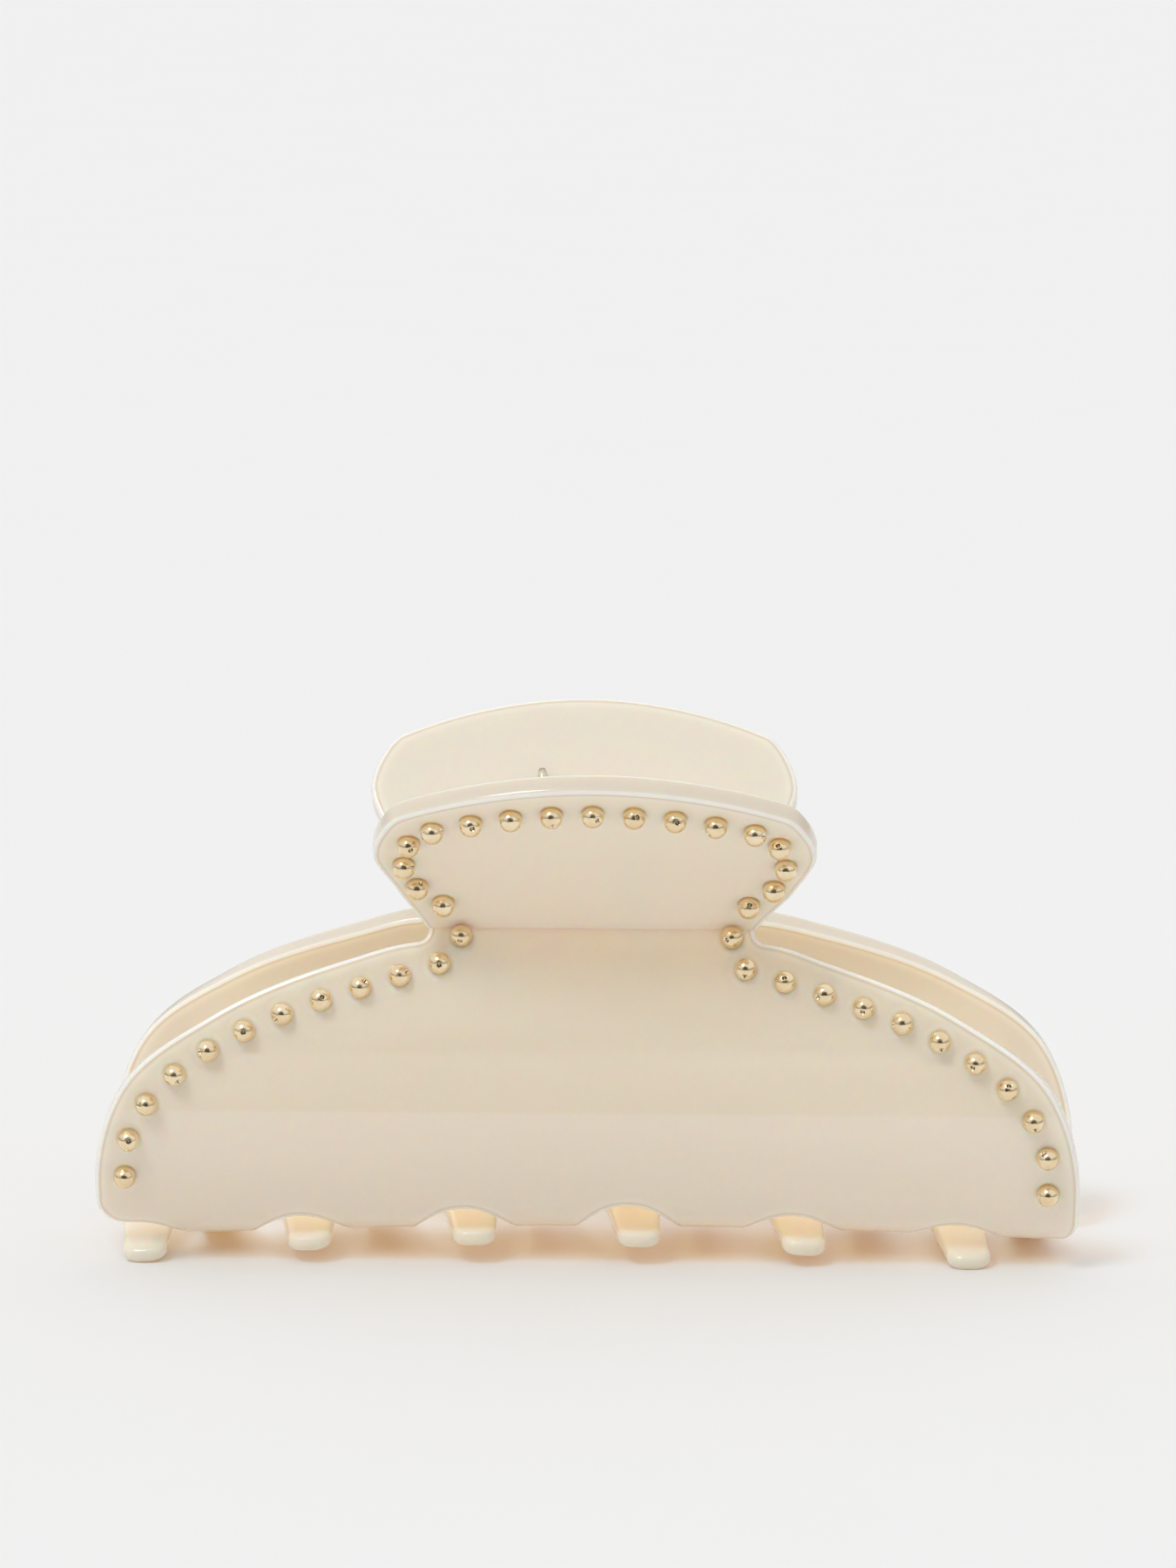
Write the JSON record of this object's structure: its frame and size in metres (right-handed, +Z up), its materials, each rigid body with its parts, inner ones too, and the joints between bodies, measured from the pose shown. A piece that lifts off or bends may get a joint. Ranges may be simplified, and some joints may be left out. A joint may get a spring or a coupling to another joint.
{
  "type": "claw hair clip",
  "caption": "Large claw hair clip: two cream acetate jaws with curled teeth, a sprung hinge under fan-shaped finger tabs, and a border of small gold beads.",
  "frame": {"origin": "bottom centre, on the plane that the tooth tips stand on", "axes": "+X along the hinge pin, -Y towards the front jaw, +Z up towards the finger tabs"},
  "size_m": [0.1106, 0.0502, 0.0593],
  "materials": {
    "cream_acetate": "polished translucent pearl cream",
    "lug_acetate": "polished translucent cream",
    "gold_beads": "polished gold plate",
    "steel": "bright plated",
    "spring_steel": "drawn wire, lightly gilt"
  },
  "bodies": {
    "front_jaw_body": {"front_jaw": "cream_acetate", "front_inner_lug": "lug_acetate", "front_outer_lug": "lug_acetate", "hinge_pin": "steel", "pin_cap": "steel", "torsion_spring": "spring_steel", "front_tab_top_beads": "gold_beads", "front_tab_left_beads": "gold_beads", "front_tab_right_beads": "gold_beads", "front_neck_beads": "gold_beads", "front_left_flank_beads": "gold_beads", "front_right_flank_beads": "gold_beads"},
    "rear_jaw_body": {"rear_jaw": "cream_acetate", "rear_inner_lug": "lug_acetate", "rear_outer_lug": "lug_acetate", "rear_tab_top_beads": "gold_beads", "rear_tab_left_beads": "gold_beads", "rear_tab_right_beads": "gold_beads", "rear_neck_beads": "gold_beads", "rear_left_flank_beads": "gold_beads", "rear_right_flank_beads": "gold_beads"}
  },
  "joints": [
    {"name": "jaw_hinge", "type": "hinge", "parent": "front_jaw_body", "child": "rear_jaw_body", "pos_m": [0, 0, 0.0374], "axis": [1, 0, 0], "range_deg": [0, 80], "stiffness_Nm_per_rad": 0.04, "springref_deg": -28.65, "deforming": ["torsion_spring"]}
  ]
}
